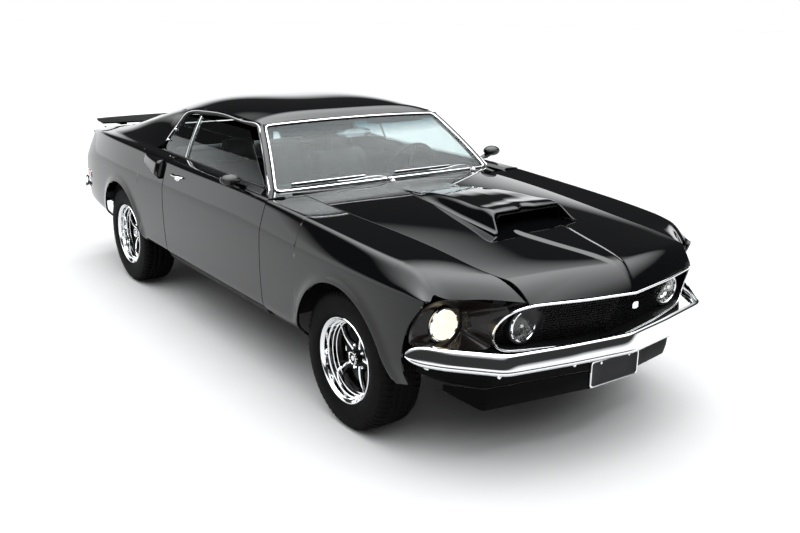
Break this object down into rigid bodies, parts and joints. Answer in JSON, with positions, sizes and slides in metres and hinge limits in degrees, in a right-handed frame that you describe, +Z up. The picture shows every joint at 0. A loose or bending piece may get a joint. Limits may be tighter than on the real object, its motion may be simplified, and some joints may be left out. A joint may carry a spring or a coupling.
{
  "type": "muscle car",
  "caption": "Two-door fastback muscle car with separate body panels, glass, running gear and cabin; wheels roll and steer, doors, hood and trunk lid open.",
  "frame": {"origin": "middle of the car's footprint box at ground level", "axes": "+Z up, -Y towards the nose, +X towards the car's left side"},
  "size_m": [1.91, 4.76, 1.3296],
  "materials": {
    "body_paint": "deep gloss black paint",
    "window_glass": "clear, slightly green glass",
    "tyre_rubber": "matt black rubber",
    "wheel_chrome": "bright chrome with black recesses",
    "bumper_chrome": "bright polished chrome",
    "lamp_glass": "clear fluted lens",
    "tail_lens": "red lens",
    "seat_vinyl": "black vinyl",
    "interior_plastic": "black moulded plastic",
    "satin_black": "satin black",
    "chassis_steel": "satin black chassis paint",
    "engine_iron": "cast iron and aluminium",
    "exhaust_steel": "dull steel pipe"
  },
  "bodies": {
    "body": {"floor_pan": "chassis_steel", "firewall": "chassis_steel", "underbody": "chassis_steel", "front_fender_right": "body_paint", "front_fender_left": "body_paint", "headlight_surrounds": "body_paint", "grille": "satin_black", "headlights": "lamp_glass", "front_bumper": "bumper_chrome", "front_valance": "satin_black", "front_spoiler": "satin_black", "cowl_panel": "body_paint", "windshield": "window_glass", "roof": "body_paint", "quarter_panel_right": "body_paint", "quarter_panel_left": "body_paint", "quarter_windows": "window_glass", "rear_window": "window_glass", "tail_panel": "body_paint", "tail_lights": "tail_lens", "rear_bumper": "bumper_chrome", "dashboard": "interior_plastic", "front_seats": "seat_vinyl", "rear_seat": "seat_vinyl", "engine": "engine_iron", "gearbox_and_driveshaft": "engine_iron", "exhaust": "exhaust_steel", "fuel_tank": "chassis_steel", "rear_axle": "chassis_steel", "front_suspension": "chassis_steel"},
    "hood": {"hood": "body_paint", "hood_scoop": "body_paint"},
    "trunk_lid": {"trunk_lid": "body_paint", "rear_spoiler": "body_paint"},
    "door_right": {"door_right": "body_paint", "door_glass_right": "window_glass", "mirror_right": "body_paint"},
    "door_left": {"door_left": "body_paint", "door_glass_left": "window_glass", "mirror_left": "body_paint"},
    "knuckle_right": {"front_knuckle_right": "chassis_steel"},
    "knuckle_left": {"front_knuckle_left": "chassis_steel"},
    "front_wheel_right": {"front_rim_right": "wheel_chrome", "front_tyre_right": "tyre_rubber"},
    "front_wheel_left": {"front_rim_left": "wheel_chrome", "front_tyre_left": "tyre_rubber"},
    "rear_wheel_right": {"rear_rim_right": "wheel_chrome", "rear_tyre_right": "tyre_rubber"},
    "rear_wheel_left": {"rear_rim_left": "wheel_chrome", "rear_tyre_left": "tyre_rubber"},
    "steering_wheel": {"steering_wheel": "interior_plastic"}
  },
  "joints": [
    {"name": "hood_hinge", "type": "hinge", "parent": "body", "child": "hood", "pos_m": [0, -0.655, 0.945], "axis": [-1, 0, 0], "range_deg": [0, 50]},
    {"name": "trunk_hinge", "type": "hinge", "parent": "body", "child": "trunk_lid", "pos_m": [0, 1.75, 1.052], "axis": [1, 0, 0], "range_deg": [0, 60]},
    {"name": "door_right_hinge", "type": "hinge", "parent": "body", "child": "door_right", "pos_m": [-0.893, -0.756, 0.65], "axis": [0, 0, 1], "range_deg": [0, 65]},
    {"name": "door_left_hinge", "type": "hinge", "parent": "body", "child": "door_left", "pos_m": [0.893, -0.756, 0.65], "axis": [0, 0, -1], "range_deg": [0, 65]},
    {"name": "steer_right", "type": "hinge", "parent": "body", "child": "knuckle_right", "pos_m": [-0.705, -1.425, 0.332], "axis": [0, 0, 1], "range_deg": [-30, 30]},
    {"name": "steer_left", "type": "hinge", "parent": "body", "child": "knuckle_left", "pos_m": [0.705, -1.425, 0.332], "axis": [0, 0, 1], "range_deg": [-30, 30]},
    {"name": "roll_front_right", "type": "hinge", "parent": "knuckle_right", "child": "front_wheel_right", "pos_m": [-0.755, -1.425, 0.332], "axis": [1, 0, 0], "continuous": true},
    {"name": "roll_front_left", "type": "hinge", "parent": "knuckle_left", "child": "front_wheel_left", "pos_m": [0.755, -1.425, 0.332], "axis": [1, 0, 0], "continuous": true},
    {"name": "roll_rear_right", "type": "hinge", "parent": "body", "child": "rear_wheel_right", "pos_m": [-0.755, 1.318, 0.332], "axis": [1, 0, 0], "continuous": true},
    {"name": "roll_rear_left", "type": "hinge", "parent": "body", "child": "rear_wheel_left", "pos_m": [0.755, 1.318, 0.332], "axis": [1, 0, 0], "continuous": true},
    {"name": "steering_wheel_turn", "type": "hinge", "parent": "body", "child": "steering_wheel", "pos_m": [0.37, -0.236, 0.906], "axis": [0, 0.9063, 0.4226], "range_deg": [-480, 480]}
  ],
  "couplings": [
    {"joint": "steer_right", "follows": "steer_left", "ratio": 1},
    {"joint": "steering_wheel_turn", "follows": "steer_left", "ratio": 16}
  ]
}
